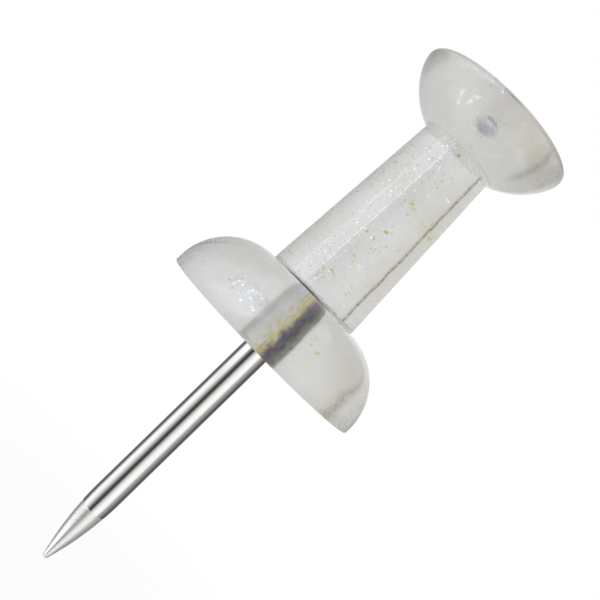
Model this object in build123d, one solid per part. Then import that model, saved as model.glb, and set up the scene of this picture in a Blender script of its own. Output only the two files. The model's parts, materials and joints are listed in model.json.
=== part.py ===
# Push pin: a clear moulded grip on a steel needle, with glitter film moulded into the plastic.
from build123d import *
import math
import os

# Driving dimensions in millimetres. Height zero is the flange's underside, and +Z runs to the crown.
flange_diameter = 8.72
flange_land = 0.20  # upright edge below the dome
stem_base_diameter = 3.93
stem_length = 7.32
neck_diameter = 3.08
neck_fillet = 0.15
crown_diameter = 6.63
bowl_height = 1.83  # from the neck up to the widest line of the crown
bowl_start_angle = 17.0  # degrees above level, where the bowl leaves the neck
bowl_start_pull = 1.12  # length over which the bowl holds that direction
bowl_rim_pull = 0.48  # length over which it runs upright below its widest line
rim_radius = 0.20  # rounded edge round the thumb face
gate_diameter = 0.70  # dimple that the moulding gate leaves in the thumb face
gate_depth = 0.20

needle_diameter = 1.10
needle_reach = 11.00  # from the flange's underside to the tip
point_length = 3.30
tip_radius = 0.12
root_depth = 2.45  # length of needle held in the plastic
knurl_raise = 0.05  # how far the knurl's crests stand proud of the wire
knurl_depth = 0.04
knurl_teeth = 36

flake_width = 0.24  # across corners
flake_thickness = 0.05
flake_cover = 0.12  # least plastic between a flake and any surface
flakes_of_each_colour = 36
glitter_colours = ("gold", "violet", "silver")

# Sizes that follow from the driving dimensions.
flange_radius = flange_diameter / 2
stem_base_radius = stem_base_diameter / 2
neck_radius = neck_diameter / 2
crown_radius = crown_diameter / 2
gate_radius = gate_diameter / 2
needle_radius = needle_diameter / 2
root_radius = needle_radius + knurl_raise
flake_radius = flake_width / 2
dome_radius = flange_radius - stem_base_radius
flange_height = flange_land + dome_radius
neck_height = flange_height + stem_length
rim_height = neck_height + bowl_height
grip_height = rim_height + rim_radius


def turned(*outline):
    """Turn a closed outline, drawn in the XZ plane, about the pin's axis."""
    return revolve(make_face(outline), axis=Axis.Z)


def across(radius, height):
    """A point of an outline, at a radius from the axis and a height."""
    return Vector(radius, 0, height)


def make_grip_blank():
    """The moulded grip before anything is set into it: flange, dome, stem, bowl and thumb face."""
    dome_start = across(flange_radius, flange_land)
    dome_end = across(stem_base_radius, flange_height)
    neck = across(neck_radius, neck_height)
    rim = across(crown_radius, rim_height)
    face_edge = across(crown_radius - rim_radius, grip_height)
    gate_edge = across(gate_radius, grip_height)
    gate_floor = across(0, grip_height - gate_depth)

    lean = math.radians(bowl_start_angle)
    bowl_start = neck + across(math.cos(lean), math.sin(lean)) * bowl_start_pull
    bowl_end = rim - across(0, bowl_rim_pull)

    blank = turned(
        Polyline(gate_floor, across(0, 0), across(flange_radius, 0), dome_start),
        TangentArc(dome_start, dome_end, tangent=(0, 0, 1)),
        Line(dome_end, neck),
        Bezier(neck, bowl_start, bowl_end, rim),
        TangentArc(rim, face_edge, tangent=(0, 0, 1)),
        Line(face_edge, gate_edge),
        TangentArc(gate_floor, gate_edge, tangent=(1, 0, 0)),
    )
    neck_edge = blank.edges().sort_by(lambda edge: abs(edge.center().Z - neck_height))[0]
    return fillet(neck_edge, neck_fillet)


def make_needle():
    """Drawn wire with an ogive point below the flange and a knurled root above its underside."""
    tip_height = -needle_reach
    shoulder = across(needle_radius, tip_height + point_length)
    tip_center = across(0, tip_height + tip_radius)

    # The ogive is tangent to the wire at its shoulder and to the small ball of the tip.
    drop = point_length - tip_radius
    ogive_radius = (needle_radius**2 + drop**2 - tip_radius**2) / (2 * (needle_radius - tip_radius))
    ogive_center = across(needle_radius - ogive_radius, shoulder.Z)
    touch = tip_center + (tip_center - ogive_center).normalized() * tip_radius

    shank = turned(
        Polyline(across(0, tip_height), across(0, 0), across(needle_radius, 0), shoulder),
        TangentArc(shoulder, touch, tangent=(0, 0, -1)),
        TangentArc(across(0, tip_height), touch, tangent=(1, 0, 0)),
    )
    crests_and_valleys = [
        Vector(root_radius - (step % 2) * knurl_depth, 0, 0).rotate(Axis.Z, step * 180 / knurl_teeth)
        for step in range(2 * knurl_teeth)
    ]
    root = extrude(make_face(Polyline(*crests_and_valleys, close=True)), root_depth)
    return shank + root


def wall_radius(height):
    """Outside radius of the grip at a height, with the bowl taken as a plain cone inside its curve."""
    if height < flange_land:
        return flange_radius
    if height < flange_height:
        return stem_base_radius + math.sqrt(dome_radius**2 - (height - flange_land) ** 2)
    if height < neck_height:
        climbed = (height - flange_height) / stem_length
        return stem_base_radius + climbed * (neck_radius - stem_base_radius)
    climbed = (height - neck_height) / bowl_height
    return neck_radius + climbed * (crown_radius - neck_radius)


def flake_places():
    """Where each flake lies: evenly spread heights, golden-angle turns and scattered radii and tilts."""
    count = flakes_of_each_colour * len(glitter_colours)
    margin = flake_cover + flake_radius
    lowest = margin
    highest = rim_height - margin
    golden_angle = 180 * (3 - math.sqrt(5))
    radius_stride = math.sqrt(2)
    tilt_stride = math.sqrt(3)
    for index in range(count):
        height = lowest + (index + 0.5) / count * (highest - lowest)
        outer = min(wall_radius(height - flake_radius), wall_radius(height + flake_radius)) - margin
        inner = root_radius + margin if height < root_depth + margin else 0
        spread = (index * radius_stride) % 1
        radius = math.sqrt(inner**2 + spread * (outer**2 - inner**2))
        tilt = 180 * ((index * tilt_stride) % 1)
        yield Rot(0, 0, index * golden_angle) * Pos(radius, 0, height) * Rot(tilt, 0, 0)


def make_glitter():
    """Hexagonal flakes of film, dealt out to the colours in turn."""
    flake = extrude(RegularPolygon(flake_radius, 6), flake_thickness / 2, both=True)
    flakes = {colour: [] for colour in glitter_colours}
    for index, place in enumerate(flake_places()):
        colour = glitter_colours[index % len(glitter_colours)]
        flakes[colour].append((place * flake).solid())
    return flakes


needle = make_needle()
glitter = make_glitter()
every_flake = [flake for flakes in glitter.values() for flake in flakes]

# The plastic closes round the needle's root and round every flake, so their shapes are cut from the blank.
grip = make_grip_blank() - needle
grip = grip - every_flake

os.makedirs("parts", exist_ok=True)
export_step(grip, "parts/grip.step")
export_step(needle, "parts/needle.step")
for colour, flakes in glitter.items():
    export_step(Compound(flakes), f"parts/glitter_{colour}.step")

overall = grip_height + needle_reach
print(f"overall {overall:.2f} mm: grip {grip_height:.2f} mm high, needle {needle_reach:.2f} mm below the flange")
print(f"grip {grip.volume:.2f} mm3 in {len(grip.solids())} solid, needle {needle.volume:.2f} mm3")
print(f"{len(every_flake)} flakes of glitter")
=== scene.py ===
# %% [markdown]
# A push pin: looks
#
# The real pin is two things made into one: a bright steel needle, and a grip of clear plastic moulded
# round its root, with flakes of coloured film in the plastic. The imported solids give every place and
# size. This script dresses them: smooth meshes for the grip and the needle, flakes scattered by a rule,
# and one material for each real material. Sizes are in millimetres, and MM turns them into metres.

# %% Load the frame
import bpy
import json
import math
import random
from mathutils import Matrix, Vector

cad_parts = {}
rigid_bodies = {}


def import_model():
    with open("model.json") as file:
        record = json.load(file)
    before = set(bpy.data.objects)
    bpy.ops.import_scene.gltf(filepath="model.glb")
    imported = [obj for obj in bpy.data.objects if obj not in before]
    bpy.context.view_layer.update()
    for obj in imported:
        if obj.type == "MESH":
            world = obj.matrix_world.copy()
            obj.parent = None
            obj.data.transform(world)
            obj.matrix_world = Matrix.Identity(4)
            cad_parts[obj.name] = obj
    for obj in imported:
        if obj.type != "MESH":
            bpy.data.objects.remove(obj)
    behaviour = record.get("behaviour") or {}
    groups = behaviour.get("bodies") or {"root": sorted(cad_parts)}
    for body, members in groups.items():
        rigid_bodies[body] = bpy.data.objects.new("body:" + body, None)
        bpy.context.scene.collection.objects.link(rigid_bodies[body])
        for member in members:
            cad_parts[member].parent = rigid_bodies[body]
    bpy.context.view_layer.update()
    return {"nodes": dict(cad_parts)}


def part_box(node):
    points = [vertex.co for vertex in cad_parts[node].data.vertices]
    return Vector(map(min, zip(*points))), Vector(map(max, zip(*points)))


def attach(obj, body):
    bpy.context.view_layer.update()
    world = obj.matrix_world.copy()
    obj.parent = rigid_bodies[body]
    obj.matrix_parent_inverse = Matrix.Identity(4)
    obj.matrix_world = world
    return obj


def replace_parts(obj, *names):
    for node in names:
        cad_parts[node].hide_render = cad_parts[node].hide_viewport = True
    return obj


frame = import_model()
scene = bpy.context.scene
scene.view_settings.view_transform = "Standard"
MM = 0.001
print("solids:", ", ".join(sorted(frame["nodes"])))

# %% [markdown]
# Light that enters a clear grip is thrown from wall to wall many times before it leaves. By default a
# path ends after a few mirror-like bounces and counts as black, which would blacken the crown's corners.
# A higher limit costs little here, because the pin is small and the room is bright. No path is given up
# at random before that limit, and no single path may grow so bright that it leaves a white speck. The
# classic sample pattern leaves an even noise, which a denoiser smooths best.

# %% Let light bounce in the plastic
longest_path = 32
scene.cycles.max_bounces = longest_path
scene.cycles.transmission_bounces = longest_path
scene.cycles.min_light_bounces = longest_path
scene.cycles.glossy_bounces = 24
scene.cycles.sample_clamp_indirect = 3.0
scene.cycles.sampling_pattern = "TABULATED_SOBOL"
print("bounces allowed:", scene.cycles.max_bounces)

# %% [markdown]
# Grip and needle are both turned shapes: an outline of radius and height, turned about the pin's axis. An
# outline is a chain of straight runs, arcs and rounded corners. A curve object could hold it, but plain
# lists of points are easier to chain and to thin out.

# %% Runs, arcs and rounded corners
def arc(centre, radius, start, end, steps):
    """Points on an arc in the outline's plane, from one angle to another in degrees."""
    turns = [math.radians(start + (end - start) * step / steps) for step in range(steps + 1)]
    return [(centre[0] + radius * math.cos(t), centre[1] + radius * math.sin(t)) for t in turns]


def even(start, end, steps):
    """Points along a straight run, without its first point."""
    return [tuple(a + (b - a) * step / steps for a, b in zip(start, end)) for step in range(1, steps + 1)]


def rounded(corner, before, after, radius, steps):
    """An arc that rounds a corner between the directions to its two neighbours."""
    corner = Vector(corner)
    back = (Vector(before) - corner).normalized()
    on = (Vector(after) - corner).normalized()
    half = back.angle(on) / 2
    centre = corner + (back + on).normalized() * radius / math.sin(half)
    start = corner + back * radius / math.tan(half) - centre
    end = corner + on * radius / math.tan(half) - centre
    spokes = [start.lerp(end, step / steps).normalized() for step in range(steps + 1)]
    return [tuple(centre + spoke * radius) for spoke in spokes]


square_corner = rounded((2, 1), (1, 1), (2, 2), 0.5, 2)
print("a square corner at (2, 1), rounded:", [(round(x, 2), round(y, 2)) for x, y in square_corner])

# %% [markdown]
# The grip is one moulding: a flange with a short upright land and a quarter-round dome, a stem that tapers
# to the neck, a bowl that swells from the neck to the crown's widest line, and a flat thumb face with the
# dimple of the moulding gate. The solid's own mesh could be shown instead, but it has flat facets, and
# clear plastic shows each of them, so a smooth mesh is turned in its place. The flange's radius and the
# grip's height come from the frame, and the other sizes are the solid's.

# %% The grip's sizes
flange_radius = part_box("grip")[1].x / MM
grip_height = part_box("grip")[1].z / MM
flange_land = 0.20
stem_base_radius = 1.965
neck_radius = 1.54
neck_fillet = 0.15
crown_radius = 3.315
bowl_height = 1.83
bowl_start_angle = 17.0  # degrees above level, where the bowl leaves the neck
bowl_start_pull = 1.12  # length over which it holds that direction
bowl_rim_pull = 0.48  # length over which it runs upright below the rim
rim_radius = 0.20
gate_radius = 0.35
gate_depth = 0.20
edge_radius = 0.04
dome_radius = flange_radius - stem_base_radius
flange_height = flange_land + dome_radius
rim_height = grip_height - rim_radius
neck_height = rim_height - bowl_height
print(f"flange's radius {flange_radius:.2f} mm, neck at {neck_height:.2f} mm, top at {grip_height:.2f} mm")

# %% [markdown]
# Two stretches of the outline are more than one run or arc. The bowl is a curve with two handles: one
# leaves the neck at a low slope, and the other ends upright at the rim. A chain of arcs could follow it,
# but the curve needs only three numbers and has no joints that would catch the light. The gate's dimple
# is part of a ball with a rounded edge.

# %% The bowl and the gate
long_rows = 60  # rows of points on each of dome, stem and bowl
gate_rows = 10
gate_edge_rows = 5


def bowl_points():
    """The bowl from neck to rim, a curve that leaves the neck at a low slope and ends upright."""
    slope = math.radians(bowl_start_angle)
    start = Vector((neck_radius, neck_height))
    end = Vector((crown_radius, rim_height))
    pull_out = start + bowl_start_pull * Vector((math.cos(slope), math.sin(slope)))
    pull_up = end - Vector((0.0, bowl_rim_pull))
    for row in range(long_rows + 1):
        t = row / long_rows
        s = 1 - t
        yield tuple(s ** 3 * start + 3 * s * s * t * pull_out + 3 * s * t * t * pull_up + t ** 3 * end)


def gate_points():
    """The gate's dimple from its rounded edge to its floor, part of a ball."""
    ball = (gate_radius ** 2 + gate_depth ** 2) / (2 * gate_depth)
    reach = math.degrees(math.asin(gate_radius / ball))
    bottom = grip_height - gate_depth
    hollow = arc((0.0, bottom + ball), ball, -90 + reach, -90, gate_rows)
    edge = rounded(hollow[0], (crown_radius, grip_height), hollow[1], edge_radius, gate_edge_rows)
    inside = [point for point in hollow[1:-1] if point[0] < edge[-1][0]]
    return edge + inside + [(0.0, bottom)]


print("points on the bowl:", len(list(bowl_points())), "and on the gate:", len(gate_points()))

# %% [markdown]
# The whole outline starts at the middle of the flat underside and ends at the middle of the thumb face. No
# mould has a perfectly sharp corner, so each edge gets a hair of rounding, and the light finds it. A Bevel
# modifier could round the edges, but in the outline a row close to each rounding also keeps flats flat.

# %% The grip's outline
underside_rows = 14
land_rows = 3
edge_rows = 6
fillet_rows = 10
rim_rows = 10
face_rows = 10


def grip_outline():
    """All points of the outline, underside first."""
    centre = (0.0, 0.0)
    land_top = (flange_radius, flange_land)
    stem_foot = (stem_base_radius, flange_height)
    neck = (neck_radius, neck_height)
    bowl = list(bowl_points())
    edge = rounded((flange_radius, 0.0), centre, land_top, edge_radius, edge_rows)
    crease = rounded(stem_foot, (flange_radius, flange_height), neck, edge_radius, edge_rows)
    fillet = rounded(neck, stem_foot, bowl[1], neck_fillet, fillet_rows)
    gate = gate_points()

    underside = [centre] + even(centre, (edge[0][0] - edge_radius, 0.0), underside_rows) + edge
    dome = even(edge[-1], land_top, land_rows)
    dome += arc((stem_base_radius, flange_land), dome_radius, 0, 90, long_rows)[1:-1]
    dome = [point for point in dome if point[0] > crease[0][0] + edge_radius]
    near_crease = even(crease[-1], fillet[0], 3 * long_rows)[:1]
    stem = crease + near_crease + even(crease[-1], fillet[0], long_rows)[:-1] + fillet
    bowl = [point for point in bowl if point[0] > fillet[-1][0] + edge_radius]
    rim = arc((crown_radius - rim_radius, rim_height), rim_radius, 0, 90, rim_rows)[1:]
    face_start = (rim[-1][0] - edge_radius, grip_height)
    face_end = (gate[0][0] + edge_radius, grip_height)
    face = [face_start] + even(face_start, face_end, face_rows)
    return underside + dome + stem + bowl + rim + face + gate


print("points in the grip's outline:", len(grip_outline()))

# %% [markdown]
# The mould closes in two halves, and a little plastic creeps into their joint, so a hair-thin raised line
# runs up the grip on two opposite sides. It strays a little: it runs nearly straight up the stem, bends
# aside on the bowl, and on the flange it is only a wide smear. A list gives its path by height, because
# no simple rule fits it, and seeded random bends keep it from looking ruled.

# %% The path of the parting line
LINE_PATH = [  # height, degrees from the front towards +X, strength, width
    (0.0, 45.0, 0.7, 0.34),
    (1.0, 47.5, 0.7, 0.34),
    (1.9, 62.0, 0.4, 0.20),
    (2.3, 55.0, 0.0, 0.20),
    (flange_height, 43.0, 0.0, 0.085),
    (flange_height + 0.1, 43.0, 1.0, 0.085),
    (neck_height - 0.3, 47.0, 1.0, 0.085),
    (neck_height - 0.1, 47.0, 0.0, 0.085),
    (neck_height + 0.2, 57.0, 0.0, 0.10),
    (10.5, 50.0, 0.6, 0.20),
    (11.3, 43.0, 0.6, 0.20),
    (rim_height, 40.0, 0.3, 0.10),
    (grip_height, 40.0, 0.0, 0.10),
]
slow_bends = 3  # in each mm of height
quick_bends = 8
slow_stray = 0.8  # degrees
quick_stray = 0.25
bend_count = 100  # enough for the quick bends up to the neck
random.seed(11)
bends = [random.uniform(-1, 1) for _ in range(bend_count)]


def strays(height):
    """Degrees by which the line strays on the stem: a slow drift with a small quick one on it."""
    slow = height * slow_bends
    drift = bends[int(slow)] + (bends[int(slow) + 1] - bends[int(slow)]) * (slow % 1)
    return slow_stray * drift + quick_stray * bends[int(height * quick_bends)]


def line_at(height):
    """Angle, strength and width of the parting line at a height."""
    for below, above in zip(LINE_PATH, LINE_PATH[1:]):
        if height <= above[0]:
            break
    share = min(1.0, max(0.0, (height - below[0]) / (above[0] - below[0])))
    degrees, strength, width = [a + share * (b - a) for a, b in zip(below[1:], above[1:])]
    on_stem = flange_height < height < neck_height
    return math.radians(degrees - 90 + on_stem * strays(height)), strength, width


def from_line(angle, line_angle):
    """Signed angle to the nearer of the two opposite parting lines."""
    return (angle - line_angle + math.pi / 2) % math.pi - math.pi / 2


degrees_round = [step[1] for step in LINE_PATH]
print("parting line: from", min(degrees_round), "to", max(degrees_round), "degrees round from the front")

# %% [markdown]
# One lathe turns both pieces. A Screw modifier could do it, but writing the rows directly gives closed
# poles on the axis and lets each point shift a little from its place on the outline.

# %% A lathe for turned pieces
def lathe(name, outline, angles, shift):
    """A closed mesh turned from (radius, height) points. shift(radius, height, angle) moves a point."""
    points, faces, rows = [], [], []
    for radius, height in outline:
        row = []
        for angle in angles if radius > 0 else [0.0]:
            r, h, a = shift(radius, height, angle)
            row.append(len(points))
            points.append((r * math.cos(a) * MM, r * math.sin(a) * MM, h * MM))
        rows.append(row)
    for low, high in zip(rows, rows[1:]):
        count = max(len(low), len(high))
        for i in range(count):
            j = (i + 1) % count
            corners = [low[i % len(low)], low[j % len(low)], high[j % len(high)], high[i % len(high)]]
            faces.append(list(dict.fromkeys(corners)))
    mesh = bpy.data.meshes.new(name)
    mesh.from_pydata(points, [], faces)
    mesh.validate()
    mesh.shade_smooth()
    piece = bpy.data.objects.new(name, mesh)
    scene.collection.objects.link(piece)
    return piece


print("helper made:", lathe.__name__)

# %% [markdown]
# On the grip, the columns of points turn with the parting line, which leaves a round shape as it was, and
# they crowd together there, so that the line can stand a few hundredths of a millimetre proud. A bump in
# the material would be simpler, but it would be missing from the grip's shape, and so from its outline.

# %% The grip, with its parting line
line_height = 0.022
line_reach = math.radians(5.0)  # the columns crowd together this far on both sides of the line
plain_start = 1.1  # in that reach: where the evenly spaced columns start again
columns_round = 180
columns_at_line = 20


def hump(distance, width):
    """A smooth hump: 1 in its middle, near 0 two widths away."""
    return math.exp(-(distance / width) ** 2)


def crowded_angles():
    """Evenly spaced columns, and more of them close to each parting line, which is at angle 0."""
    plain = [math.tau * column / columns_round for column in range(columns_round)]
    plain = [angle for angle in plain if abs(from_line(angle, 0.0)) > line_reach * plain_start]
    close = [line_reach * step / columns_at_line for step in range(-columns_at_line, columns_at_line + 1)]
    return sorted(plain + [(side + step) % math.tau for side in (0.0, math.pi) for step in close])


def along_line(radius, height, angle):
    """Turn a column to the parting line's angle at this height, and raise it if it is on the line."""
    line_angle, strength, width = line_at(height)
    on_side = 0.0 < height < grip_height
    raised = on_side * strength * line_height * hump(from_line(angle, 0.0) * radius, width)
    return radius + raised, height, angle + line_angle


grip = lathe("grip_moulding", grip_outline(), crowded_angles(), along_line)
print("grip:", len(grip.data.polygons), "faces")

# %% [markdown]
# Use leaves marks. Dust clings to the parting line. A dark line of painted shade, in the same brown,
# rises round the flange's left and fades. Marks could be painted on a texture, but the mesh has rows and
# columns where they are. So each point gets a number from 0 to 1 for each mark, as an attribute, and the
# material reads it.

# %% Dust on the parting line, and painted shade on the flange's left
side_margin = 0.001  # keeps the flat underside and thumb face out
side_radius = neck_radius * 0.9
# the painted shade line on the flange's left: where it starts, how fast it turns, its width, top and fade
shade_line_start = -176.0  # degrees round, at the land's top
shade_line_turn = 15.0  # degrees in each mm of height
shade_line_width = 0.14
shade_line_top = 2.1
shade_line_fade = 0.9


def set_mark(name, mark):
    """Give each of the grip's points its number for a mark."""
    values = grip.data.attributes.new(name, "FLOAT", "POINT").data
    for vertex in grip.data.vertices:
        x, y, z = vertex.co / MM
        values[vertex.index].value = mark(math.hypot(x, y), z, math.atan2(y, x))
    print(name, "marks", sum(value.value > 0.5 for value in values), "points")


def limited(value):
    """A value kept between 0 and 1."""
    return min(1.0, max(0.0, value))


def parting_dust_and_shade_mark(radius, height, angle):
    """Dust on the parting line, and painted shade along the flange's left."""
    line_angle, strength, width = line_at(height)
    line = strength * hump(from_line(angle, line_angle) * radius, width)
    shade_line_angle = math.radians(shade_line_start + shade_line_turn * (height - flange_land))
    faded = limited((shade_line_top - height) / shade_line_fade) * (height > flange_land)
    shade_line = faded * hump((angle - shade_line_angle) * radius, shade_line_width)
    on_side = side_margin < height < grip_height - side_margin and radius > side_radius
    return on_side * max(shade_line, line)


set_mark("parting", parting_dust_and_shade_mark)

# %% [markdown]
# The crease round the stem's foot is painted dark, as painted shade, more of it at the front and the
# back. A dark ring would be simpler, but the shade fades outwards over the dome, so its number falls with
# the distance from the crease.

# %% Painted shade in the crease
crease_width = 0.055
crease_stretch = 5  # the dirt reaches this many times further out than up
crease_middle = math.radians(-105.0)
crease_spread = math.radians(24.0)
crease_all_round = 0.45
crease_at_middle = 1.2


def crease_shade_mark(radius, height, angle):
    """Painted shade in the crease, most of it at the front and the back."""
    away = math.hypot((radius - stem_base_radius) / crease_stretch, height - flange_height)
    shade_share = crease_all_round + crease_at_middle * hump(from_line(angle, crease_middle), crease_spread)
    return min(1.0, shade_share * hump(away, crease_width))


set_mark("crease", crease_shade_mark)

# %% [markdown]
# Plastic enters the mould through the gate, in the middle of the thumb face. There the moulding is torn
# from what feeds it, which leaves a dull spot in and round the dimple. The spot could be a material of
# its own, but it has no sharp edge, so it is a mark too.

# %% The torn gate
torn_depth = gate_depth * 1.1
torn_radius = gate_radius * 1.35
torn_fade = 0.2


def gate_mark(radius, height, angle):
    """The torn spot, the same all round."""
    return (height > grip_height - torn_depth) * limited((torn_radius - radius) / torn_fade)


set_mark("gate", gate_mark)

# %% [markdown]
# The needle is drawn wire. Its point is an ogive, ground on a wheel after drawing, and the line where the
# grinding starts shows as a small step across the wire. A cone on a cylinder would be simpler, but a
# ground point swells, so its side is an arc that runs smoothly into the wire and into the tip's ball.

# %% The needle's point
needle_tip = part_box("needle")[0].z / MM
needle_radius = 0.55
point_length = 3.30
tip_radius = 0.12
ground_length = 2.55
ground_step = 0.010
ground_edge = 0.05
tip_rows = 8
point_rows = 60


def point_outline():
    """The outline from tip to shoulder: a small ball, then an arc tangent to it and to the wire."""
    drop = point_length - tip_radius
    ogive = (needle_radius ** 2 + drop ** 2 - tip_radius ** 2) / (2 * (needle_radius - tip_radius))
    lean = math.degrees(math.atan2(drop, ogive - needle_radius))
    tip = arc((0.0, needle_tip + tip_radius), tip_radius, -90, -lean, tip_rows)
    sides = arc((needle_radius - ogive, needle_tip + point_length), ogive, -lean, 0, point_rows)
    return [(0.0, needle_tip)] + tip[1:] + sides[1:]


def ground(radius, height):
    """The ground part of the point lies a little below the drawn surface."""
    depth = needle_tip + ground_length - height
    return radius - ground_step * limited(depth / ground_edge), height


print("rows on the needle's point:", len(point_outline()))

# %% [markdown]
# The root is knurled: a wheel pressed fine teeth into the wire, so that the plastic holds it. Each tooth
# could be cut by itself, but the same lathe that turns the grip turns the wire too, and a shift of its
# points shapes all teeth at once. The root's depth comes from the frame.

# %% The needle, with its knurled root
root_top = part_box("needle")[1].z / MM
knurl_raise = 0.05
knurl_depth = 0.04
knurl_teeth = 36
columns_per_tooth = 4
shank_rows = 24
root_rows = 40


def needle_outline():
    """Tip to the top of the root."""
    point = [(0.0, needle_tip)] + [ground(*place) for place in point_outline()[1:]]
    shank = even(point[-1], (needle_radius, 0.0), shank_rows)
    root_radius = needle_radius + knurl_raise
    root = [(root_radius, 0.0)] + even((root_radius, 0.0), (root_radius, root_top), root_rows)
    return point + shank + root + [(0.0, root_top)]


def knurl(radius, height, angle):
    """Cut the knurl's teeth into the root."""
    in_root = radius > needle_radius + knurl_raise / 2
    tooth = abs(((angle / math.tau * knurl_teeth) % 1) * 2 - 1)
    return radius - in_root * knurl_depth * tooth, height, angle


needle_columns = knurl_teeth * columns_per_tooth
needle_angles = [math.tau * step / needle_columns for step in range(needle_columns)]
needle = lathe("needle_wire", needle_outline(), needle_angles, knurl)
print("needle:", len(needle.data.polygons), "faces")

# %% [markdown]
# Two small helpers serve every material. Colours are picked as sRGB hex values, as a paint chart gives
# them, but shaders work in linear light, so one function converts them. The other adds a node, sets it
# and links it, so that a node tree reads as a list of what it holds.

# %% Helpers for colours and nodes
def linear(hex_colour):
    """An sRGB hex colour as linear red, green, blue and alpha."""
    channels = [int(hex_colour[place:place + 2], 16) / 255 for place in (1, 3, 5)]
    return (*[c / 12.92 if c <= 0.04045 else ((c + 0.055) / 1.055) ** 2.4 for c in channels], 1.0)


def add(tree, kind, inputs=None, **settings):
    """A new node: settings are its properties, and inputs maps a socket to a value or an output."""
    node = tree.nodes.new(kind)
    for name, value in settings.items():
        setattr(node, name, value)
    for socket, value in (inputs or {}).items():
        if isinstance(value, bpy.types.NodeSocket):
            tree.links.new(value, node.inputs[socket])
        else:
            node.inputs[socket].default_value = value
    return node


def new_material(name):
    """An empty node material and its tree."""
    material = bpy.data.materials.new(name)
    material.use_nodes = True
    material.node_tree.nodes.clear()
    return material, material.node_tree


print("mid grey, #808080, is", round(linear("#808080")[0], 3), "of full light")

# %% [markdown]
# Clear polystyrene, injection moulded. It is nearly colourless, but each passage through its skin takes a
# little light, so it looks a light milk-grey on white, in soft clouds from cool to warm. The thick crown
# cooled slowly and is hazier, in patches. On top of that its colour is painted darker towards +X, as
# painted shade on that side of the crown. A volume could scatter light as real clouding does, but it
# renders slowly and an exported model loses it, so the colour carries the clouding.

# %% Milky body of the plastic, with painted shade on one side
cloud_size = 2.2
patch_size = 0.9
haze_start = neck_height + 0.3
haze_most = 0.7
# between these two places along X the crown's colour is painted darker, as shade on the +X side
side_shade_start = -1.5  # places along X between which the haze grows
side_shade_end = 1.0
plastic, tree = new_material("clear_polystyrene")
spot = add(tree, "ShaderNodeTexCoord").outputs["Object"]
along = add(tree, "ShaderNodeSeparateXYZ", {"Vector": spot}).outputs
clouds = add(tree, "ShaderNodeTexNoise", {"Vector": spot, "Scale": 1 / (cloud_size * MM), "Detail": 3.0})
cloudy = add(tree, "ShaderNodeMapRange", {"Value": clouds.outputs["Fac"], "From Min": 0.3, "From Max": 0.7})
thin = add(tree, "ShaderNodeMix",
           {0: cloudy.outputs["Result"], 6: linear("#DBDCDE"), 7: linear("#CBCBC4")}, data_type="RGBA")
thick = add(tree, "ShaderNodeMapRange", {
    "Value": along["Z"], "From Min": haze_start * MM, "From Max": rim_height * MM, "To Max": haze_most})
painted_side_shade = add(tree, "ShaderNodeMapRange", {
    "Value": along["X"], "From Min": side_shade_start * MM, "From Max": side_shade_end * MM,
    "To Min": 0.2, "To Max": 1.9})
patches = add(tree, "ShaderNodeTexNoise", {"Vector": spot, "Scale": 1 / (patch_size * MM), "Detail": 2.0})
uneven = add(tree, "ShaderNodeMapRange", {
    "Value": patches.outputs["Fac"], "From Min": 0.35, "From Max": 0.65, "To Min": 0.2, "To Max": 1.8})
haze_and_side_shade = add(tree, "ShaderNodeMath",
           {0: thick.outputs["Result"], 1: painted_side_shade.outputs["Result"]}, operation="MULTIPLY")
hazy_and_shaded = add(tree, "ShaderNodeMath",
            {0: haze_and_side_shade.outputs[0], 1: uneven.outputs["Result"]}, operation="MULTIPLY", use_clamp=True)
body = add(tree, "ShaderNodeMix",
           {0: hazy_and_shaded.outputs[0], 6: thin.outputs[2], 7: linear("#BEBBB4")}, data_type="RGBA")
print("haze starts at", round(haze_start, 2), "mm")

# %% [markdown]
# Dust clings to the parting line in brown crumbs, and the same brown crumbs paint the shade line on the
# flange's left as painted shade. The crease is painted nearly black, as painted shade, and the torn gate
# looks violet-grey. Each could be a thin layer of its own mesh, but marks fade at their edges, so each
# mark's number lays its colour over what is below it.

# %% Dust, painted shade and the torn gate
crumb_size = 0.10
crumbs = add(tree, "ShaderNodeTexNoise", {"Vector": spot, "Scale": 1 / (crumb_size * MM), "Detail": 1.0})
patchy = add(tree, "ShaderNodeMapRange", {
    "Value": crumbs.outputs["Fac"], "From Min": 0.3, "From Max": 0.6, "To Min": 0.45, "To Max": 1.0})
line = add(tree, "ShaderNodeAttribute", attribute_name="parting")
# dust on the parting line, and painted shade on the flange's left, share one brown
dust_and_shade = add(tree, "ShaderNodeMath",
           {0: line.outputs["Fac"], 1: patchy.outputs["Result"]}, operation="MULTIPLY")
dusty_and_shaded = add(tree, "ShaderNodeMix",
            {0: dust_and_shade.outputs[0], 6: body.outputs[2], 7: linear("#463A32")}, data_type="RGBA")
# the crease's painted shade, nearly black
corner = add(tree, "ShaderNodeAttribute", attribute_name="crease")
crease_shaded = add(tree, "ShaderNodeMix",
             {0: corner.outputs["Fac"], 6: dusty_and_shaded.outputs[2], 7: linear("#1E1E1A")}, data_type="RGBA")
torn = add(tree, "ShaderNodeAttribute", attribute_name="gate")
tinted = add(tree, "ShaderNodeMix",
             {0: torn.outputs["Fac"], 6: crease_shaded.outputs[2], 7: linear("#BAB4C6")}, data_type="RGBA")
print("marks laid over the body: dust, crease_shade, torn gate")

# %% [markdown]
# The skin has the mould's own finish. The mould is polished for stem and crown, and satin for the flange,
# so that what lies in the flange looks soft. Fingers have rubbed the flange's two sides duller, and the
# torn gate is frosted. One roughness all over would be simpler, but the eye tells these apart at once, so
# the roughness follows height and side.

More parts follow.
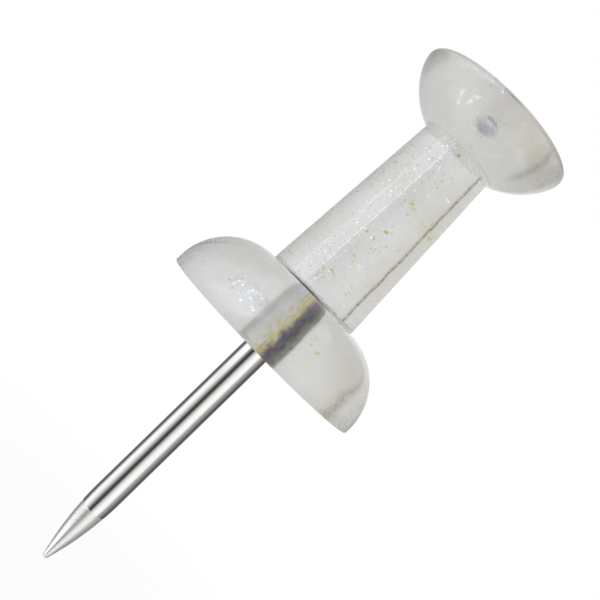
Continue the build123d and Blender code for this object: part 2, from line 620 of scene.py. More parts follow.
# %% Roughness of the skin
satin_top = 2.3  # heights between which satin gives way to polish
polish_start = 2.7
satin_roughness = 0.15
polished_roughness = 0.06
frosted_roughness = 0.7
rubbed_start = 3.4  # distances to the side between which the flange turns duller
rubbed_end = 3.9
rubbed_more = 0.15  # added roughness
satin = add(tree, "ShaderNodeMapRange", {
    "Value": along["Z"], "From Min": satin_top * MM, "From Max": polish_start * MM,
    "To Min": satin_roughness, "To Max": polished_roughness})
aside = add(tree, "ShaderNodeMath", {0: along["X"]}, operation="ABSOLUTE")
rubbed = add(tree, "ShaderNodeMapRange", {
    "Value": aside.outputs[0], "From Min": rubbed_start * MM, "From Max": rubbed_end * MM,
    "To Max": rubbed_more})
dull = add(tree, "ShaderNodeMath",
           {0: satin.outputs["Result"], 1: rubbed.outputs["Result"]}, operation="ADD")
frost = add(tree, "ShaderNodeMix", {0: torn.outputs["Fac"], 2: dull.outputs[0], 3: frosted_roughness})
print("roughness:", satin_roughness, "on the flange,", polished_roughness, "on stem and crown")

# %% [markdown]
# Polishing leaves slow waves and a fine grain in the mould, and the skin copies both. The grain's few
# peaks break highlights into sparks, but not on the satin flange. In the mesh this would take millions of
# faces, and it is too shallow to change an outline, so two bumps carry it.

# %% Waves and grain of the skin
wave_size = 0.9
wave_depth = 0.010
grain_size = 0.12  # coarser than the mould's own grain, so that it shows
grain_depth = 0.004
waves = add(tree, "ShaderNodeTexNoise", {"Vector": spot, "Scale": 1 / (wave_size * MM), "Detail": 1.0})
wavy = add(tree, "ShaderNodeBump",
           {"Height": waves.outputs["Fac"], "Strength": 1.0, "Distance": wave_depth * MM})
grain = add(tree, "ShaderNodeTexNoise", {"Vector": spot, "Scale": 1 / (grain_size * MM), "Detail": 3.0})
peaks = add(tree, "ShaderNodeMapRange", {"Value": grain.outputs["Fac"], "From Min": 0.55, "From Max": 0.75})
above_flange = add(tree, "ShaderNodeMapRange", {
    "Value": along["Z"], "From Min": satin_top * MM, "From Max": polish_start * MM})
skin = add(tree, "ShaderNodeBump", {
    "Height": peaks.outputs["Result"], "Strength": above_flange.outputs["Result"],
    "Distance": grain_depth * MM, "Normal": wavy.outputs["Normal"]})
print("waves:", wave_size, "mm, grain:", grain_size, "mm")

# %% [markdown]
# One shader joins body, marks and skin. Nearly all of it transmits, as clear plastic does, and the small
# rest is matte, which gives the faint milk of fine clouding. Glass with a matte coat mixed in could do the
# same with more nodes.

# %% The whole plastic
plastic_ior = 1.5
clear_share = 0.98
shader = add(tree, "ShaderNodeBsdfPrincipled", {
    "Base Color": tinted.outputs[2],
    "Roughness": frost.outputs[0],
    "IOR": plastic_ior,
    "Transmission Weight": clear_share,
    "Normal": skin.outputs["Normal"],
})
add(tree, "ShaderNodeOutputMaterial", {"Surface": shader.outputs["BSDF"]})
grip.data.materials.append(plastic)
print("plastic:", plastic.name)

# %% [markdown]
# Nickel-plated steel. The drawn wire is polished along its length and mirrors the studio in long bands.
# The point is ground: fine scratches make it duller, and some of the light leaves it as from a matte
# surface. Height alone tells wire, point and root apart, so no mask has to be painted.

# %% Polished wire and ground point
wire_roughness = 0.07
point_roughness = 0.30
point_metal = 0.75  # share of the ground point that still mirrors
steel, tree = new_material("nickel_plated_steel")
spot = add(tree, "ShaderNodeTexCoord").outputs["Object"]
along = add(tree, "ShaderNodeSeparateXYZ", {"Vector": spot}).outputs
on_point = add(tree, "ShaderNodeMath",
               {0: along["Z"], 1: (needle_tip + ground_length) * MM}, operation="LESS_THAN")
in_root = add(tree, "ShaderNodeMath", {0: along["Z"], 1: 0.0}, operation="GREATER_THAN")
bare_finish = add(tree, "ShaderNodeMapRange",
                  {"Value": on_point.outputs[0], "To Min": wire_roughness, "To Max": point_roughness})
metal = add(tree, "ShaderNodeMapRange",
            {"Value": on_point.outputs[0], "To Min": 1.0, "To Max": point_metal})
print("ground from the tip up to", round(needle_tip + ground_length, 2), "mm")

# %% [markdown]
# The root was hot when the plastic closed round it, and hot steel takes colours, so it carries a straw
# band. The rest of the ramp round it is painted light and shade: bright steel on the -X side, where the
# light falls, and a dark violet band beside the straw, painted shade on the side away from the light. An
# image wrapped round the root could carry them, but a ramp round the axis needs no file and stays sharp.
# A noise makes the bands' edges sway, and all of them fade towards the root's top; the heat colour fades
# there because the top stayed cooler.

# %% Heat colour, and painted light and shade, round the root
bright_steel = "#F4F4F2"
# bright steel on the lit -X side, then the straw heat colour, then painted shade in the dark violet band
# towards +X
HEAT_AND_SHADE_STRIPES = [  # share of the way round the front, from -X to +X; the back keeps the last colour
    (0.28, bright_steel), (0.34, "#DCDAD4"), (0.40, "#E6E2D4"), (0.45, "#FFEECC"), (0.55, "#FFEBB4"),
    (0.58, "#C2B49A"), (0.62, "#767490"), (0.72, "#76757A"), (0.79, "#868682"), (0.88, "#B4B4AE"),
]
stripe_sway = 0.22  # radians
sway_size = 0.16
cool_start = 1.2
cool_most = 0.9


def set_stops(ramp_node, stops):
    """Give a colour ramp its (position, hex colour) stops."""
    elements = ramp_node.color_ramp.elements
    elements.remove(elements[1])
    for index, (position, colour) in enumerate(stops):
        stop = elements[0] if index == 0 else elements.new(position)
        stop.position = position
        stop.color = linear(colour)


turn = add(tree, "ShaderNodeMath", {0: along["Y"], 1: along["X"]}, operation="ARCTAN2")
blots = add(tree, "ShaderNodeTexNoise", {"Vector": spot, "Scale": 1 / (sway_size * MM), "Detail": 2.0})
sway = add(tree, "ShaderNodeMapRange",
           {"Value": blots.outputs["Fac"], "To Min": -stripe_sway, "To Max": stripe_sway})
swayed = add(tree, "ShaderNodeMath", {0: turn.outputs[0], 1: sway.outputs["Result"]}, operation="ADD")
round_share = add(tree, "ShaderNodeMapRange",
                  {"Value": swayed.outputs[0], "From Min": -math.pi, "From Max": 0.0}).outputs["Result"]
heat_and_shade_stripes = add(tree, "ShaderNodeValToRGB", {"Fac": round_share})
set_stops(heat_and_shade_stripes, HEAT_AND_SHADE_STRIPES)
cooled = add(tree, "ShaderNodeMapRange", {
    "Value": along["Z"], "From Min": cool_start * MM, "From Max": root_top * MM, "To Max": cool_most})
faded = add(tree, "ShaderNodeMix",
            {0: cooled.outputs["Result"], 6: heat_and_shade_stripes.outputs["Color"], 7: linear("#D0D0D2")},
            data_type="RGBA")
print("colours round the root:", len(HEAT_AND_SHADE_STRIPES))

# %% [markdown]
# The knurl is too fine to be seen tooth by tooth through the plastic. Where the steel is coloured, the
# glints and shade of its teeth are painted as specks, dark and bright and faintly rainbow-coloured, drawn
# coarser than the real ones so that they show at all. A noise gives both, its value the brightness and its
# colour the tint.

# %% Painted glints and shade from the knurl
speck_size = 0.065
rainbow_share = 0.75
plain_end = 0.34  # shares of the way round between which plain steel turns into coloured steel
coloured_start = 0.44
specks = add(tree, "ShaderNodeTexNoise", {"Vector": spot, "Scale": 1 / (speck_size * MM), "Detail": 1.0})
rainbow = add(tree, "ShaderNodeMix",
              {0: rainbow_share, 6: faded.outputs[2], 7: specks.outputs["Color"]},
              data_type="RGBA", blend_type="SOFT_LIGHT")
glint = add(tree, "ShaderNodeMapRange", {
    "Value": specks.outputs["Fac"], "From Min": 0.38, "From Max": 0.62, "To Min": 0.68, "To Max": 2.0})
speckled = add(tree, "ShaderNodeVectorMath",
               {0: rainbow.outputs[2], "Scale": glint.outputs["Result"]}, operation="SCALE")
coloured = add(tree, "ShaderNodeMapRange",
               {"Value": round_share, "From Min": plain_end, "From Max": coloured_start})
marked = add(tree, "ShaderNodeMix",
             {0: coloured.outputs["Result"], 6: linear(bright_steel), 7: speckled.outputs["Vector"]},
             data_type="RGBA")
colour = add(tree, "ShaderNodeMix",
             {0: in_root.outputs[0], 6: linear("#E6E6E4"), 7: marked.outputs[2]}, data_type="RGBA")
print("specks:", speck_size, "mm")

# %% [markdown]
# The plastic fills the knurl, so light meets a nearly smooth wall there. The teeth could be left out of
# the mesh, but they are real and belong in its shape, so only the shading takes most of its direction from
# the plain round wire. The root is dull all over, and least so on its plain side.

# %% The filled knurl, and the whole steel
knurl_filled = 0.85
plain_roughness = 0.62
coloured_roughness = 0.75
gloss_end = 0.38  # shares of the way round between which the plain side's gloss fades
dull_start = 0.60
outward = add(tree, "ShaderNodeCombineXYZ", {"X": along["X"], "Y": along["Y"], "Z": 0.0})
smooth = add(tree, "ShaderNodeVectorMath", {0: outward.outputs[0]}, operation="NORMALIZE")
toothed = add(tree, "ShaderNodeNewGeometry")
filled = add(tree, "ShaderNodeMath", {0: in_root.outputs[0], 1: knurl_filled}, operation="MULTIPLY")
face = add(tree, "ShaderNodeMix",
           {0: filled.outputs[0], 4: toothed.outputs["Normal"], 5: smooth.outputs["Vector"]},
           data_type="VECTOR")
root_finish = add(tree, "ShaderNodeMapRange", {
    "Value": round_share, "From Min": gloss_end, "From Max": dull_start,
    "To Min": plain_roughness, "To Max": coloured_roughness})
finish = add(tree, "ShaderNodeMix",
             {0: in_root.outputs[0], 2: bare_finish.outputs["Result"], 3: root_finish.outputs["Result"]})
shader = add(tree, "ShaderNodeBsdfPrincipled", {
    "Base Color": colour.outputs[2],
    "Metallic": metal.outputs["Result"],
    "Roughness": finish.outputs[0],
    "Normal": face.outputs[1],
})
add(tree, "ShaderNodeOutputMaterial", {"Surface": shader.outputs["BSDF"]})
needle.data.materials.append(steel)
print("steel:", steel.name)

# %% [markdown]
# The glitter is polyester film, about a hundredth of a millimetre thick, with a coat of metal so thin that
# it is partly see-through. The gold film passes tinted light, as a filter does, and its IOR is only the
# small step from plastic to film. Violet and silver film let most light by and show by what they flash
# back, so they are mirrors with a low alpha. Each flake has its own tone, from the scatter below.

# %% Film for the glitter
film_roughness = 0.14
film_step = 1.03
flash_alpha = 0.22
GOLD_TONES = [(0.0, "#FAFBDC"), (0.5, "#F3F5C4"), (0.85, "#E8EC98"), (1.0, "#C4CA68")]
VIOLET_TONES = [(0.0, "#FFFFFF"), (0.6, "#E8E4FF"), (1.0, "#CCC4FF")]
SILVER_TONES = [(0.0, "#FFFFFF"), (1.0, "#DCF0FA")]


def film(name, tones, sockets):
    """Coated film: a ramp over the flakes' own tones gives its colour, and the sockets its finish."""
    material, tree = new_material(name)
    tone = add(tree, "ShaderNodeAttribute", attribute_name="tone")
    colour = add(tree, "ShaderNodeValToRGB", {"Fac": tone.outputs["Fac"]})
    set_stops(colour, tones)
    shader = add(tree, "ShaderNodeBsdfPrincipled",
                 {"Base Color": colour.outputs["Color"], "Roughness": film_roughness, **sockets})
    add(tree, "ShaderNodeOutputMaterial", {"Surface": shader.outputs["BSDF"]})
    return material


films = {
    "gold": film("gold_film", GOLD_TONES, {"Transmission Weight": 1.0, "IOR": film_step}),
    "violet": film("violet_film", VIOLET_TONES, {"Metallic": 1.0, "Alpha": flash_alpha}),
    "silver": film("silver_film", SILVER_TONES, {"Metallic": 1.0, "Alpha": flash_alpha}),
}
print("films:", ", ".join(films))

# %% [markdown]
# Glitter is cut in small hexagons and stirred into the plastic before moulding, and the flow lays most
# flakes along the wall. One Geometry Nodes tree scatters them, once for each zone of the grip and each
# colour, with a seed of its own. A particle system could too, but a tree has plain inputs: the zone's
# heights, its wall's radius and slope at both, the part of the round that it takes, the depth of skin
# that holds flakes, and the flakes' size and tilt.

# %% Inputs of the scatter tree
scatter = bpy.data.node_groups.new("scatter_flakes", "GeometryNodeTree")
SOCKETS = {
    "NodeSocketInt": ("Count", "Seed"),
    "NodeSocketFloat": ("Low", "High", "Low Radius", "High Radius", "Skin", "Low Slope", "High Slope",
                        "Low Turn", "High Turn", "Tilt", "Flake Radius", "Flake Thickness"),
    "NodeSocketMaterial": ("Film",),
}
socket_of = {}
for kind, names in SOCKETS.items():
    for name in names:
        socket_of[name] = scatter.interface.new_socket(name, in_out="INPUT", socket_type=kind).identifier
scatter.interface.new_socket("Flakes", in_out="OUTPUT", socket_type="NodeSocketGeometry")
given = add(scatter, "NodeGroupInput").outputs
print("inputs:", ", ".join(socket_of))

# %% [markdown]
# Distribute Points on Faces could spread flakes over the wall, but real ones lie at different depths. So
# each flake draws its height, its depth under the wall and its turn about the axis, and these give its
# place. Every draw adds a number of its own to the seed, so that the draws don't follow one another.

# %% A place for each flake
DRAWS = {"climb": 1, "depth": 2, "turn": 3, "rock": 4, "tilt": 5, "length": 7, "width": 8, "tone": 9}


def chance(draw, low=0.0, high=1.0):
    """A random number for each point, from the tree's seed and the draw's own number."""
    seed = add(scatter, "ShaderNodeMath", {0: given["Seed"], 1: float(DRAWS[draw])}, operation="ADD")
    return add(scatter, "FunctionNodeRandomValue", {2: low, 3: high, "Seed": seed.outputs[0]}).outputs[1]


climb = chance("climb")
height = add(scatter, "ShaderNodeMapRange",
             {"Value": climb, "To Min": given["Low"], "To Max": given["High"]})
outer = add(scatter, "ShaderNodeMapRange",
            {"Value": climb, "To Min": given["Low Radius"], "To Max": given["High Radius"]})
depth = add(scatter, "ShaderNodeMath", {0: chance("depth"), 1: given["Skin"]}, operation="MULTIPLY")
reach = add(scatter, "ShaderNodeMath",
            {0: outer.outputs["Result"], 1: depth.outputs[0]}, operation="SUBTRACT")
turn = add(scatter, "ShaderNodeMapRange",
           {"Value": chance("turn"), "To Min": given["Low Turn"], "To Max": given["High Turn"]})
cosine = add(scatter, "ShaderNodeMath", {0: turn.outputs["Result"]}, operation="COSINE")
sine = add(scatter, "ShaderNodeMath", {0: turn.outputs["Result"]}, operation="SINE")
x = add(scatter, "ShaderNodeMath", {0: reach.outputs[0], 1: cosine.outputs[0]}, operation="MULTIPLY")
y = add(scatter, "ShaderNodeMath", {0: reach.outputs[0], 1: sine.outputs[0]}, operation="MULTIPLY")
place = add(scatter, "ShaderNodeCombineXYZ",
            {"X": x.outputs[0], "Y": y.outputs[0], "Z": height.outputs["Result"]})
points = add(scatter, "GeometryNodePoints", {"Count": given["Count"], "Position": place.outputs[0]})
print("places take", len(scatter.nodes), "nodes")

# %% [markdown]
# A flake is a flat six-sided cylinder. A single face would be lighter, but see-through film needs an inside
# and an outside. Each flake is laid along the wall's slope, rocked and tilted a little, and scaled at
# random, because the cutting isn't exact. The tree ends in real meshes with their film.

# %% The flakes on their places
least_size = 0.4  # smallest flake, as a share of the largest
flake = add(scatter, "GeometryNodeMeshCylinder", {
    "Vertices": 6, "Radius": given["Flake Radius"], "Depth": given["Flake Thickness"]})
slope = add(scatter, "ShaderNodeMapRange",
            {"Value": climb, "To Min": given["Low Slope"], "To Max": given["High Slope"]})
lay = add(scatter, "ShaderNodeMath", {0: math.pi / 2, 1: slope.outputs["Result"]}, operation="SUBTRACT")
rock = add(scatter, "ShaderNodeMath",
           {0: chance("rock", -1.0, 1.0), 1: given["Tilt"]}, operation="MULTIPLY")
tilt = add(scatter, "ShaderNodeMath",
           {0: chance("tilt", -1.0, 1.0), 1: given["Tilt"], 2: lay.outputs[0]}, operation="MULTIPLY_ADD")
tumble = add(scatter, "ShaderNodeCombineXYZ",
             {"X": rock.outputs[0], "Y": tilt.outputs[0], "Z": turn.outputs["Result"]})
turned = add(scatter, "FunctionNodeEulerToRotation", {0: tumble.outputs[0]})
size = add(scatter, "ShaderNodeCombineXYZ",
           {"X": chance("length", least_size), "Y": chance("width", least_size), "Z": 1.0})
placed = add(scatter, "GeometryNodeInstanceOnPoints", {
    "Points": points.outputs[0], "Instance": flake.outputs["Mesh"],
    "Rotation": turned.outputs[0], "Scale": size.outputs[0]})
toned = add(scatter, "GeometryNodeStoreNamedAttribute",
            {"Geometry": placed.outputs[0], "Name": "tone", "Value": chance("tone")}, domain="INSTANCE")
real = add(scatter, "GeometryNodeRealizeInstances", {"Geometry": toned.outputs[0]})
finished = add(scatter, "GeometryNodeSetMaterial", {"Geometry": real.outputs[0], "Material": given["Film"]})
add(scatter, "NodeGroupOutput", {"Flakes": finished.outputs[0]})
print("scatter tree:", len(scatter.nodes), "nodes")

# %% [markdown]
# The zones follow the grip: the stem, the flange's dome and the crown's bowl, the whole way round. Three
# patches hold more, where glitter flashes under a highlight: the gleam along the stem's front, the shine
# on the dome, and the crown's rim. Slopes are the wall's own, in degrees from upright, and turns are in
# degrees from +X, with the front at -90.

# %% The zones of the grip
cover = 0.06  # plastic over the outermost flakes
inset = 0.2  # of a zone from the edges of the grip's forms
stem_slope = math.degrees(math.atan2(stem_base_radius - neck_radius, neck_height - flange_height))
stem_wall = {"Low Radius": stem_base_radius - cover, "High Radius": neck_radius - cover,
             "Low Slope": stem_slope, "High Slope": stem_slope}
zones = {
    "stem": {"Low": flange_height, "High": neck_height, "Skin": 0.5, **stem_wall},
    "flange": {"Low": 0.25, "High": flange_height - inset, "Low Radius": flange_radius - inset,
               "High Radius": stem_base_radius + inset, "Skin": 0.9, "Low Slope": 5, "High Slope": 80},
    "crown": {"Low": neck_height + inset, "High": rim_height - inset, "Low Radius": neck_radius,
              "High Radius": crown_radius - inset, "Skin": 0.6, "Low Slope": -60, "High Slope": -10},
    "gleam": {"Low": flange_height + inset, "High": neck_height, "Skin": 0.15, **stem_wall,
              "Low Turn": -130, "High Turn": -80, "Tilt": 15},
    "shine": {"Low": 0.75, "High": 1.4, "Low Radius": flange_radius - inset,
              "High Radius": flange_radius - 0.45, "Skin": 0.3, "Low Slope": 15, "High Slope": 33,
              "Low Turn": -126, "High Turn": -103, "Tilt": 15},
    "rim": {"Low": rim_height - 0.1, "High": rim_height + 0.12, "Low Radius": crown_radius - 0.12,
            "High Radius": crown_radius - 0.15, "Skin": 0.2, "Low Slope": -5, "High Slope": 15,
            "Low Turn": -108, "High Turn": -97, "Tilt": 20},
}
print("zones:", ", ".join(zones))

# %% [markdown]
# Flakes cling together in the melt, so the gold ones lie in small drifts, each a zone of its own. The
# drifts on the stem's front and the one on the dome are where the photograph has them, and those behind
# are placed at random.

# %% Drifts of gold
drift_reach = 0.28
drift_skin = 0.15
places = [  # height, degrees from the front towards +X
    (9.6, 6), (8.5, 15), (7.1, 3), (5.4, -5), (5.3, 18), (4.5, 8), (3.5, 18), (3.4, -6)]
random_drifts = 8
random_heights = (3.2, 9.5)
random_degrees = (50, 310)
random.seed(8)
places += [(random.uniform(*random_heights), random.uniform(*random_degrees)) for _ in range(random_drifts)]
drifts = {}
for number, (middle, degrees) in enumerate(places):
    wall = stem_base_radius - (middle - flange_height) * math.tan(math.radians(stem_slope))
    side = math.degrees(drift_reach / wall)
    drifts["drift_" + str(number)] = {
        "Low": middle - drift_reach, "High": middle + drift_reach, "Skin": drift_skin,
        "Low Radius": wall - cover, "High Radius": wall - cover,
        "Low Slope": stem_slope, "High Slope": stem_slope,
        "Low Turn": degrees - 90 - side, "High Turn": degrees - 90 + side}
dome_low = 1.3
dome_high = 1.8
low_lean = math.asin((dome_low - flange_land) / dome_radius)
high_lean = math.asin((dome_high - flange_land) / dome_radius)
zones["dome_drift"] = {
    "Low": dome_low, "High": dome_high, "Skin": 0.08,
    "Low Radius": stem_base_radius + dome_radius * math.cos(low_lean) - cover,
    "High Radius": stem_base_radius + dome_radius * math.cos(high_lean) - cover,
    "Low Slope": math.degrees(low_lean), "High Slope": math.degrees(high_lean),
    "Low Turn": -81, "High Turn": -65}
zones.update(drifts)
print("drifts of gold flakes:", len(drifts) + 1)

# %% [markdown]
# Each colour is cut in a few sizes. Gold flakes are large enough to be seen one by one. Most silver flakes
# are the finest cut, which shows only where one sparkles, so there are many more of them. One count for
# each colour would be simpler, but the zones hold different shares.

# %% Counts and sizes
drift_flake = 0.068
drift_count = (3, 7)  # fewest and most flakes in a drift on the stem
cuts = {  # colour: zone, count, largest radius
    "gold": [("stem", 20, 0.06), ("flange", 12, 0.06), ("crown", 5, 0.06)],
    "violet": [("stem", 24, 0.06), ("flange", 12, 0.06), ("crown", 4, 0.06), ("shine", 14, 0.10),
               ("gleam", 100, 0.045), ("rim", 7, 0.07)],
    "silver": [("stem", 600, 0.05), ("flange", 50, 0.045), ("crown", 40, 0.04), ("shine", 100, 0.04),
               ("gleam", 500, 0.045), ("shine", 36, 0.075), ("rim", 9, 0.05)],
}
cuts["gold"] += [(drift, random.randint(*drift_count), drift_flake) for drift in drifts]
cuts["gold"] += [("dome_drift", 9, drift_flake)]
for colour, parts in cuts.items():
    print(colour, "flakes:", sum(count for _, count, _ in parts))

# %% [markdown]
# The tree runs on an empty carrier for each entry of that list. Its result becomes a plain mesh, because
# an export keeps no live modifier, and the meshes of one colour become one piece.

# %% Scatter the glitter
flake_thickness = 0.012
anywhere = {"Low Turn": -180, "High Turn": 180, "Tilt": 13}  # where a zone names no other
colour_seeds = 100  # seeds between two colours
cut_seeds = 10  # seeds between two cuts, more than the tree draws


def scattered(colour, zone, count, radius, seed):
    """A plain mesh of the flakes of one colour in one zone."""
    carrier = bpy.data.objects.new("carrier", bpy.data.meshes.new("carrier"))
    scene.collection.objects.link(carrier)
    modifier = carrier.modifiers.new("scatter", "NODES")
    modifier.node_group = scatter
    for name, value in {**anywhere, **zones[zone]}.items():
        in_degrees = "Slope" in name or "Turn" in name or name == "Tilt"
        modifier[socket_of[name]] = math.radians(value) if in_degrees else value * MM
    modifier[socket_of["Count"]] = count
    modifier[socket_of["Seed"]] = seed
    modifier[socket_of["Flake Radius"]] = radius * MM
    modifier[socket_of["Flake Thickness"]] = flake_thickness * MM
    modifier[socket_of["Film"]] = films[colour]
    evaluated = carrier.evaluated_get(bpy.context.evaluated_depsgraph_get())
    mesh = bpy.data.meshes.new_from_object(evaluated)
    bpy.data.objects.remove(carrier)
    return mesh


def joined(name, meshes):
    """One object from several meshes."""
    parts = [bpy.data.objects.new(name, mesh) for mesh in meshes]
    for part in parts:
        scene.collection.objects.link(part)
    with bpy.context.temp_override(active_object=parts[0], selected_editable_objects=parts):
        bpy.ops.object.join()
    return parts[0]


glitter = {}
for order, colour in enumerate(films):
    first = colour_seeds * order
    meshes = [scattered(colour, *cut, first + cut_seeds * index) for index, cut in enumerate(cuts[colour])]
    glitter[colour] = joined("glitter_flakes_" + colour, meshes)
    print(colour, "glitter:", len(glitter[colour].data.polygons), "faces")

# %% [markdown]
# Each piece rides on the pin's one body and stands for the solid it was made from, so the solid's own
# mesh isn't shown.

# %% Fix the pieces to the frame
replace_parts(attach(grip, "root"), "grip")
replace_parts(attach(needle, "root"), "needle")
for colour, flakes in glitter.items():
    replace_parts(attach(flakes, "root"), "glitter_" + colour)
print("pieces fixed:", 2 + len(glitter))

# %% [markdown]
# The stage is a floor under the needle's tip, one square that reaches far past the picture. Metal and
# plastic mirror the white room instead of it, and it throws no shadow on the pin.

# %% Floor
floor_reach = 600.0
sides = [(-1, -1), (1, -1), (1, 1), (-1, 1)]
corners = [(x * floor_reach * MM, y * floor_reach * MM, needle_tip * MM) for x, y in sides]
floor_mesh = bpy.data.meshes.new("floor")
floor_mesh.from_pydata(corners, [], [(0, 1, 2, 3)])
floor = bpy.data.objects.new("floor", floor_mesh)
floor.visible_glossy = False
floor.visible_shadow = False
scene.collection.objects.link(floor)
print("floor at", round(needle_tip, 2), "mm")

# %% [markdown]
# The floor is white paper. Lit matte paper would need more light than the pin can take, so it glows at
# white, with a matte share near the tip that takes the pin's soft shadow. From below it is clear, so that
# the pin can be looked at from there too.

# %% White paper
shadow_start = 11.0  # distances from the origin between which the matte share fades
shadow_end = 20.0
shadow_glow = 0.93  # share of glow at the tip
white, tree = new_material("white_paper")
matte = add(tree, "ShaderNodeBsdfDiffuse", {"Color": linear("#FFFFFF")})
glow = add(tree, "ShaderNodeEmission", {"Color": linear("#FFFFFF"), "Strength": 1.0})
spot = add(tree, "ShaderNodeTexCoord").outputs["Object"]
distance = add(tree, "ShaderNodeVectorMath", {0: spot}, operation="LENGTH")
far = add(tree, "ShaderNodeMapRange", {
    "Value": distance.outputs["Value"], "From Min": shadow_start * MM, "From Max": shadow_end * MM,
    "To Min": shadow_glow, "To Max": 1.0})
paper = add(tree, "ShaderNodeMixShader",
            {0: far.outputs["Result"], 1: matte.outputs[0], 2: glow.outputs[0]})
side = add(tree, "ShaderNodeNewGeometry")
clear = add(tree, "ShaderNodeBsdfTransparent")
one_sided = add(tree, "ShaderNodeMixShader",
                {0: side.outputs["Backfacing"], 1: paper.outputs[0], 2: clear.outputs[0]})
add(tree, "ShaderNodeOutputMaterial", {"Surface": one_sided.outputs[0]})
floor_mesh.materials.append(white)
print("floor:", white.name)

# %% [markdown]
# An even white room lights the pin from all sides. It is white where it is seen, straight on or in metal
# and plastic, and dimmer as a light, because full white from every side would bleach pale surfaces.

# %% White room
room_light = 0.6
world = bpy.data.worlds.new("white_room")
scene.world = world
world.use_nodes = True
tree = world.node_tree
tree.nodes.clear()
ray = add(tree, "ShaderNodeLightPath").outputs
seen = ray["Is Camera Ray"]
for kind in ("Is Glossy Ray", "Is Transmission Ray"):
    seen = add(tree, "ShaderNodeMath", {0: seen, 1: ray[kind]}, operation="MAXIMUM").outputs[0]
strength = add(tree, "ShaderNodeMapRange", {"Value": seen, "To Min": room_light, "To Max": 1.0})
sky = add(tree, "ShaderNodeBackground",
          {"Color": linear("#FFFFFF"), "Strength": strength.outputs["Result"]})
add(tree, "ShaderNodeOutputWorld", {"Surface": sky.outputs[0]})
print("room: white,", room_light, "as a light")

# %% [markdown]
# A photographer lights bright metal in a white tent with dark cards in its wall, so that the metal shows
# its roundness as bright and dark bands. Here a card is a strip bent round the pin that glows, with a
# brightness for each of its points. Lamps could light real cards, but a glow is exact and has no noise.

# %% A lit card
CARD_ROWS = ((-220, 1.0), (220, 1.0))
card_paint, tree = new_material("lit_card")
level = add(tree, "ShaderNodeAttribute", attribute_name="level")
glow = add(tree, "ShaderNodeEmission", {"Color": level.outputs["Color"], "Strength": 1.0})
add(tree, "ShaderNodeOutputMaterial", {"Surface": glow.outputs[0]})


def toward(angle, distance, height):
    """A place round the pin: angle in degrees from the camera's side, positive to +X."""
    turn = math.radians(angle)
    return Vector((math.sin(turn) * distance, -math.cos(turn) * distance, height)) * MM


def card(name, stops, rows=CARD_ROWS, lean=0.0, radius=118.0, tint="#FFFFFF", through=False):
    """A bent card. Stops are (angle, brightness), rows (height, share of it), lean is degrees per mm."""
    mesh = bpy.data.meshes.new(name)
    count = len(rows)
    places = [toward(angle + lean * z, radius, z) for angle, _ in stops for z, _ in rows]
    quads = [(i, i + 1, i + count + 1, i + count) for i in range(len(places) - count) if (i + 1) % count]
    mesh.from_pydata(places, [], quads)
    brightness = mesh.attributes.new("level", "FLOAT_COLOR", "POINT")
    for index, (_, value) in enumerate(stops):
        colour = linear("#FFFFFF" if index in (0, len(stops) - 1) else tint)
        for row, (_, share) in enumerate(rows):
            level = 1.0 + (value - 1.0) * share
            brightness.data[index * count + row].color = [level * channel for channel in colour[:3]] + [1.0]
    mesh.materials.append(card_paint)
    holder = bpy.data.objects.new(name, mesh)
    scene.collection.objects.link(holder)
    holder.visible_camera = False
    holder.visible_diffuse = False
    holder.visible_shadow = False
    holder.visible_transmission = through
    return holder


print("helper made:", card.__name__)

# %% [markdown]
# The tent goes all the way round. Its dark bands stand in the needle as two dark lines. At the side they
# are weaker above the flange, so that the stem's gloss stays light. Clear plastic would turn murky behind
# dark cards, so only mirror-like reflections see the tent.

# %% The tent
card("tent", [
    (-180, 1.0), (-165, 0.5), (-145, 0.2), (-128, 0.1), (-112, 0.22), (-104, 0.5), (-96, 0.95), (-88, 1.2),
    (-78, 1.28), (-68, 1.18), (-59, 1.03), (-50, 0.82), (-42, 0.58), (-34, 0.34), (-26, 0.14), (-18, 0.05),
    (-11, 0.05), (-3, 0.26), (4, 0.6), (13, 0.88), (21, 1.05), (30, 1.2), (54, 1.2)])
card("tent_side", [
    (54, 1.2), (63, 0.88), (72, 0.5), (82, 0.4), (93, 0.3), (104, 0.2), (118, 0.1), (136, 0.12), (160, 0.4),
    (180, 1.0)],
    rows=((-220, 1.0), (-8, 1.0), (12, 0.35), (45, 0.35), (75, 1.0), (220, 1.0)))
print("tent hung")

# %% [markdown]
# Bright boxes are seen by metal and plastic alike. A soft box gives the stem its broad highlight, and a
# strip box the thin line in it. Two low strips put the short highlights on the bowl. A small strong lamp,
# seen only through the plastic, makes flakes flash, and a faintly warm wall behind warms the clear parts.

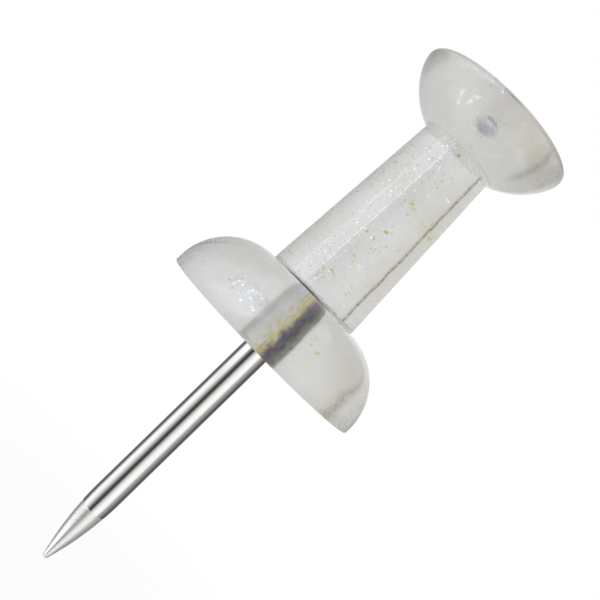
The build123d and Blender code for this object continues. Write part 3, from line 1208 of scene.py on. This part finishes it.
# %% The boxes
stem_lean = 0.375  # keeps a box's edge along the tapered stem
card("soft_box", [(-90, 1.0), (-80, 2.4), (-74, 3.4), (-72, 2.4), (-60, 2.3), (-44, 2.3), (-43, 1.0)],
     rows=((-15, 0.0), (15, 1.0), (60, 1.0), (95, 0.0)), lean=stem_lean, radius=110, through=True)
card("strip_box", [(-45, 1.0), (-44, 4.8), (-41, 4.8), (-40, 1.0)],
     rows=((12, 0.0), (24, 1.0), (50, 1.0), (60, 0.0)), lean=stem_lean, radius=108, through=True)
card("low_box", [
    (-50, 1.0), (-45, 5.0), (-41, 5.0), (-36, 1.0), (-22, 1.0), (-17, 5.0), (-13, 5.0), (-8, 1.0)],
    rows=((-170, 0.0), (-150, 1.0), (-100, 1.0), (-80, 0.0)), lean=0.3, radius=108, through=True)
spark_lamp = card("spark_lamp", [(-68, 1.0), (-62, 13.0), (-54, 13.0), (-48, 1.0)],
                  rows=((58, 0.0), (70, 1.0), (90, 1.0), (102, 0.0)), radius=106, through=True)
spark_lamp.visible_glossy = False
warm_wall = card("warm_wall", [(-85, 1.0), (-120, 0.96), (-150, 0.96), (-179, 1.0)],
                 tint="#FFFCF4", radius=130, through=True)
warm_wall.visible_glossy = False
print("boxes hung")

# %% [markdown]
# The camera looks square to the pin's axis from close by, and is rolled so that the crown is up and to the
# right. Distance, level, offset and roll were fitted to the photograph's outline, in its pixels, and the
# lens follows from the distance.

# %% Camera
picture_side = 600  # pixels
distance_px = 960
level_px = 59.5  # height of the camera above the flange's underside
offset_px = 5.7  # of the camera to the axis's left
pixels_per_mm = 27.6
camera_distance = distance_px / pixels_per_mm
axis_angle = math.radians(44.2)  # of the pin's axis above level, in the picture
lens = bpy.data.cameras.new("camera")
lens.sensor_width = 36.0
lens.lens = lens.sensor_width * camera_distance * pixels_per_mm / picture_side
lens.clip_start = 0.001
lens.clip_end = 10.0
camera = bpy.data.objects.new("camera", lens)
right = Vector((math.sin(axis_angle), 0.0, math.cos(axis_angle)))
up = Vector((-math.cos(axis_angle), 0.0, math.sin(axis_angle)))
back = Vector((0.0, -1.0, 0.0))
stand = Vector((-offset_px / pixels_per_mm, -camera_distance, level_px / pixels_per_mm)) * MM
camera.matrix_world = Matrix.Translation(stand) @ Matrix((right, up, back)).transposed().to_4x4()
scene.collection.objects.link(camera)
scene.camera = camera
print(f"camera {camera_distance:.1f} mm from the axis, lens {lens.lens:.1f} mm")
